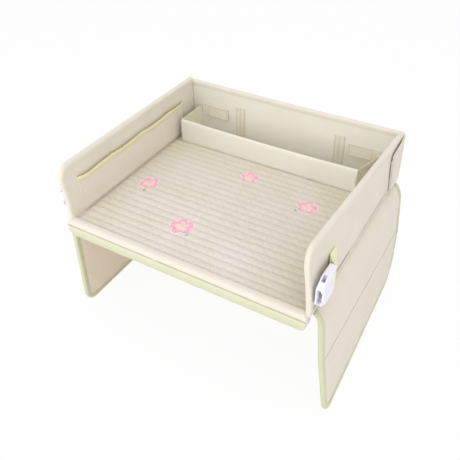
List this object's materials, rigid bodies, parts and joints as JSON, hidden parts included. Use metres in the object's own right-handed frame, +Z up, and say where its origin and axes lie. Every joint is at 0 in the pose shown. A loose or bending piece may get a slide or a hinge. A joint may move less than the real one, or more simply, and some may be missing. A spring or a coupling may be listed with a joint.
{
  "type": "car seat tray table",
  "caption": "Fabric-covered activity tray with a quilted top, fold-down side and back walls, mesh pockets, a rear organiser trough, strap buckles and fold-under leg panels.",
  "frame": {"origin": "middle of the bounding box, on the plane under the feet", "axes": "+Z up, +X to the right of a child sitting at the tray, +Y from the child's side to the back wall"},
  "size_m": [0.4552, 0.36, 0.292],
  "materials": {
    "cream_fabric": "oxford cloth, matte",
    "beige_lining": "lining cloth, matte",
    "quilt_fabric": "quilted cloth, matte",
    "lip_fabric": "padded cloth, matte",
    "cream_tape": "folded edge tape",
    "green_tape": "folded edge tape and webbing",
    "pale_elastic": "gathered elastic tape",
    "mesh_fabric": "open net",
    "panel_board": "stiff plastic sheet, matte",
    "hook_tape": "hook-and-loop tape",
    "white_plastic": "moulded, satin"
  },
  "bodies": {
    "base": {"base_board": "panel_board", "base_underside_cover": "beige_lining", "tray_quilt": "quilt_fabric", "trough_floor_pad": "cream_fabric", "front_lip_pad": "lip_fabric", "front_lip_binding": "green_tape"},
    "back_wall": {"back_wall_board": "panel_board", "back_wall_inner_cover": "cream_fabric", "back_wall_outer_cover": "cream_fabric", "back_wall_edge_tape": "cream_tape", "left_loop_strip": "cream_tape", "right_loop_strip": "cream_tape"},
    "trough_front": {"trough_front_board": "panel_board", "trough_front_cover": "cream_fabric", "left_trough_end": "cream_fabric", "right_trough_end": "cream_fabric"},
    "left_wall": {"left_wall_board": "panel_board", "left_wall_inner_cover": "cream_fabric", "left_wall_outer_cover": "cream_fabric", "left_wall_edge_tape": "cream_tape", "left_pocket_net": "mesh_fabric", "left_pocket_elastic": "pale_elastic", "left_wall_loop_patch": "hook_tape", "left_buckle_webbing": "green_tape"},
    "left_buckle": {"left_buckle_half": "white_plastic"},
    "left_flap": {"left_corner_flap": "cream_fabric", "left_flap_hook_patch": "hook_tape"},
    "left_tab": {"left_trough_tab": "cream_tape"},
    "left_leg_upper": {"left_leg_upper_board": "panel_board", "left_leg_upper_outer_cover": "cream_fabric", "left_leg_upper_inner_cover": "beige_lining", "left_leg_upper_front_tape": "green_tape", "left_leg_upper_rear_tape": "green_tape"},
    "left_leg_lower": {"left_leg_lower_board": "panel_board", "left_leg_lower_outer_cover": "cream_fabric", "left_leg_lower_inner_cover": "beige_lining", "left_leg_lower_tape": "green_tape"},
    "right_wall": {"right_wall_board": "panel_board", "right_wall_inner_cover": "cream_fabric", "right_wall_outer_cover": "cream_fabric", "right_wall_edge_tape": "cream_tape", "right_pocket_net": "mesh_fabric", "right_pocket_elastic": "pale_elastic", "right_wall_loop_patch": "hook_tape", "right_buckle_webbing": "green_tape"},
    "right_buckle": {"right_buckle_half": "white_plastic"},
    "right_flap": {"right_corner_flap": "cream_fabric", "right_flap_hook_patch": "hook_tape"},
    "right_tab": {"right_trough_tab": "cream_tape"},
    "right_leg_upper": {"right_leg_upper_board": "panel_board", "right_leg_upper_outer_cover": "cream_fabric", "right_leg_upper_inner_cover": "beige_lining", "right_leg_upper_front_tape": "green_tape", "right_leg_upper_rear_tape": "green_tape"},
    "right_leg_lower": {"right_leg_lower_board": "panel_board", "right_leg_lower_outer_cover": "cream_fabric", "right_leg_lower_inner_cover": "beige_lining", "right_leg_lower_tape": "green_tape"}
  },
  "joints": [
    {"name": "back_wall_fold", "type": "hinge", "parent": "base", "child": "back_wall", "pos_m": [-0.00704, 0.179, 0.202], "axis": [-1, 0, 0], "range_deg": [0, 90], "deforming": ["left_trough_end", "right_trough_end"]},
    {"name": "trough_fold", "type": "hinge", "parent": "base", "child": "trough_front", "pos_m": [-0.00704, 0.1127, 0.202], "axis": [-1, 0, 0], "range_deg": [0, 90], "deforming": ["left_trough_end", "right_trough_end"]},
    {"name": "left_wall_fold", "type": "hinge", "parent": "base", "child": "left_wall", "pos_m": [-0.20734, -0.173, 0.202], "axis": [0, -1, 0], "range_deg": [0, 90], "deforming": ["left_corner_flap", "left_flap_hook_patch"]},
    {"name": "left_buckle_swing", "type": "hinge", "parent": "left_wall", "child": "left_buckle", "pos_m": [-0.21384, -0.1262, 0.24], "axis": [0, 0, -1], "range_deg": [0, 100]},
    {"name": "left_flap_peel", "type": "hinge", "parent": "back_wall", "child": "left_flap", "pos_m": [-0.21014, 0.1763, 0.202], "axis": [0, 0, -1], "range_deg": [0, 100]},
    {"name": "left_tab_peel", "type": "hinge", "parent": "back_wall", "child": "left_tab", "pos_m": [-0.18204, 0.1727, 0.202], "axis": [0, 0, -1], "range_deg": [0, 65]},
    {"name": "left_leg_fold_under", "type": "hinge", "parent": "base", "child": "left_leg_upper", "pos_m": [-0.20389, -0.173, 0.1995], "axis": [0, -1, 0], "range_deg": [0, 92]},
    {"name": "left_leg_half_fold", "type": "hinge", "parent": "left_leg_upper", "child": "left_leg_lower", "pos_m": [-0.2162, -0.173, 0.10786], "axis": [0, 1, 0], "range_deg": [-125, 0]},
    {"name": "right_wall_fold", "type": "hinge", "parent": "base", "child": "right_wall", "pos_m": [0.19326, -0.173, 0.202], "axis": [0, 1, 0], "range_deg": [0, 90], "deforming": ["right_corner_flap", "right_flap_hook_patch"]},
    {"name": "right_buckle_swing", "type": "hinge", "parent": "right_wall", "child": "right_buckle", "pos_m": [0.19976, -0.1262, 0.24], "axis": [0, 0, 1], "range_deg": [0, 100]},
    {"name": "right_flap_peel", "type": "hinge", "parent": "back_wall", "child": "right_flap", "pos_m": [0.19606, 0.1763, 0.202], "axis": [0, 0, 1], "range_deg": [0, 100]},
    {"name": "right_tab_peel", "type": "hinge", "parent": "back_wall", "child": "right_tab", "pos_m": [0.16246, 0.1727, 0.202], "axis": [0, 0, 1], "range_deg": [0, 65]},
    {"name": "right_leg_fold_under", "type": "hinge", "parent": "base", "child": "right_leg_upper", "pos_m": [0.18981, -0.173, 0.1995], "axis": [0, 1, 0], "range_deg": [0, 92]},
    {"name": "right_leg_half_fold", "type": "hinge", "parent": "right_leg_upper", "child": "right_leg_lower", "pos_m": [0.20862, -0.173, 0.10759], "axis": [0, -1, 0], "range_deg": [-125, 0]}
  ],
  "couplings": [
    {"joint": "trough_fold", "follows": "back_wall_fold", "ratio": 1}
  ]
}
